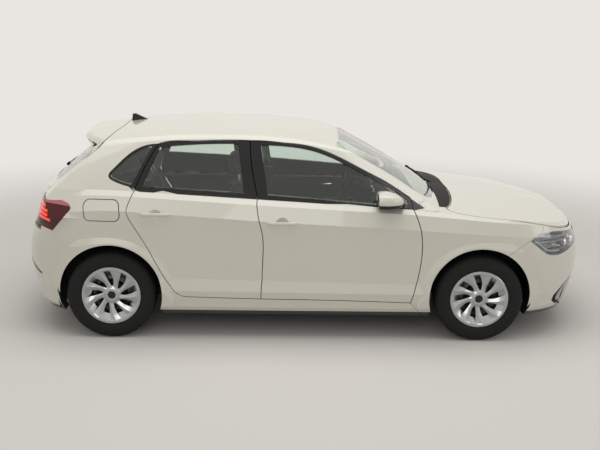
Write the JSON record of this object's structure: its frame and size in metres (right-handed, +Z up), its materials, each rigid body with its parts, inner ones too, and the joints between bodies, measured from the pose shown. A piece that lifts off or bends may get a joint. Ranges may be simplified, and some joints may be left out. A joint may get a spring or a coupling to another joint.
{
  "type": "hatchback car",
  "caption": "Five-door hatchback car with sloping tailgate, opening doors and bonnet, steered front wheels and a hollow cabin with seats.",
  "frame": {"origin": "on the ground, at the middle of the overall length and width", "axes": "+X forward, +Y to the left, +Z up; wheels stand on Z = 0"},
  "size_m": [4.0704, 1.9624, 1.466],
  "materials": {
    "body_paint": "warm pale grey gloss coat",
    "glass": "clear, slightly green",
    "tyre": "rubber, matt",
    "wheel_steel": "black paint on pressed steel",
    "cover_silver": "silver painted",
    "iron": "cast and pressed, dark",
    "seat_cloth": "dark woven cloth",
    "lamp_clear": "clear cover over bright reflectors",
    "lamp_red": "deep red, clear gloss",
    "black_plastic": "grained black",
    "gloss_black": "gloss black",
    "plate_white": "plain white",
    "aluminium": "cast",
    "exhaust_steel": "dull steel"
  },
  "bodies": {
    "body": {"body_shell": "body_paint", "front_bumper": "body_paint", "rear_bumper": "body_paint", "front_wings": "body_paint", "fixed_glass": "glass", "front_seats": "seat_cloth", "headlamps": "lamp_clear", "tail_lamps": "lamp_red", "headlamp_housings": "gloss_black", "grilles_and_diffuser": "black_plastic", "cowl": "black_plastic", "window_trims": "gloss_black", "antenna": "gloss_black", "wipers": "black_plastic", "blank_plates": "plate_white", "dashboard": "black_plastic", "rear_seat": "seat_cloth", "engine_block": "aluminium", "front_suspension": "iron", "rear_axle": "iron", "fuel_tank": "black_plastic", "exhaust": "exhaust_steel"},
    "knuckle_right": {"knuckle_right": "iron"},
    "wheel_front_right": {"tyre_front_right": "tyre", "wheel_front_right": "wheel_steel", "wheel_cover_front_right": "cover_silver"},
    "wheel_rear_right": {"tyre_rear_right": "tyre", "wheel_rear_right": "wheel_steel", "wheel_cover_rear_right": "cover_silver"},
    "front_door_right": {"front_door_right": "body_paint", "front_door_glass_right": "glass", "mirror_right": "body_paint"},
    "rear_door_right": {"rear_door_right": "body_paint", "rear_door_glass_right": "glass"},
    "knuckle_left": {"knuckle_left": "iron"},
    "wheel_front_left": {"tyre_front_left": "tyre", "wheel_front_left": "wheel_steel", "wheel_cover_front_left": "cover_silver"},
    "wheel_rear_left": {"tyre_rear_left": "tyre", "wheel_rear_left": "wheel_steel", "wheel_cover_rear_left": "cover_silver"},
    "front_door_left": {"front_door_left": "body_paint", "front_door_glass_left": "glass", "mirror_left": "body_paint"},
    "rear_door_left": {"rear_door_left": "body_paint", "rear_door_glass_left": "glass"},
    "tailgate": {"tailgate": "body_paint", "rear_window": "glass", "tailgate_lamps": "lamp_red", "rear_wiper": "black_plastic"},
    "bonnet": {"bonnet": "body_paint"},
    "fuel_flap": {"fuel_flap": "body_paint"},
    "steering_wheel": {"steering_wheel": "black_plastic"}
  },
  "joints": [
    {"name": "steer_right", "type": "hinge", "parent": "body", "child": "knuckle_right", "pos_m": [1.192, -0.671, 0.308], "axis": [0, 0, 1], "range_deg": [-32, 32]},
    {"name": "spin_front_right", "type": "hinge", "parent": "knuckle_right", "child": "wheel_front_right", "pos_m": [1.192, -0.7625, 0.308], "axis": [0, 1, 0], "continuous": true},
    {"name": "spin_rear_right", "type": "hinge", "parent": "body", "child": "wheel_rear_right", "pos_m": [-1.36, -0.7525, 0.308], "axis": [0, 1, 0], "continuous": true},
    {"name": "front_door_right_hinge", "type": "hinge", "parent": "body", "child": "front_door_right", "pos_m": [0.774, -0.876, 0.7], "axis": [0, 0, 1], "range_deg": [0, 66]},
    {"name": "rear_door_right_hinge", "type": "hinge", "parent": "body", "child": "rear_door_right", "pos_m": [-0.314, -0.876, 0.7], "axis": [0, 0, 1], "range_deg": [0, 68]},
    {"name": "steer_left", "type": "hinge", "parent": "body", "child": "knuckle_left", "pos_m": [1.192, 0.671, 0.308], "axis": [0, 0, 1], "range_deg": [-32, 32]},
    {"name": "spin_front_left", "type": "hinge", "parent": "knuckle_left", "child": "wheel_front_left", "pos_m": [1.192, 0.7625, 0.308], "axis": [0, 1, 0], "continuous": true},
    {"name": "spin_rear_left", "type": "hinge", "parent": "body", "child": "wheel_rear_left", "pos_m": [-1.36, 0.7525, 0.308], "axis": [0, 1, 0], "continuous": true},
    {"name": "front_door_left_hinge", "type": "hinge", "parent": "body", "child": "front_door_left", "pos_m": [0.774, 0.876, 0.7], "axis": [0, 0, -1], "range_deg": [0, 66]},
    {"name": "rear_door_left_hinge", "type": "hinge", "parent": "body", "child": "rear_door_left", "pos_m": [-0.314, 0.876, 0.7], "axis": [0, 0, -1], "range_deg": [0, 68]},
    {"name": "tailgate_hinge", "type": "hinge", "parent": "body", "child": "tailgate", "pos_m": [-1.332, 0, 1.413], "axis": [0, 1, 0], "range_deg": [0, 78]},
    {"name": "bonnet_hinge", "type": "hinge", "parent": "body", "child": "bonnet", "pos_m": [0.951, 0, 0.98], "axis": [0, -1, 0], "range_deg": [0, 50]},
    {"name": "fuel_flap_hinge", "type": "hinge", "parent": "body", "child": "fuel_flap", "pos_m": [-1.28, -0.876, 0.915], "axis": [0, 0, 1], "range_deg": [0, 85]},
    {"name": "steering_wheel_turn", "type": "hinge", "parent": "body", "child": "steering_wheel", "pos_m": [0.33, 0.355, 0.905], "axis": [-0.9063, 0, 0.4226], "range_deg": [-480, 480]}
  ],
  "couplings": [
    {"joint": "steer_left", "follows": "steer_right", "ratio": 1},
    {"joint": "steering_wheel_turn", "follows": "steer_right", "ratio": 15}
  ]
}
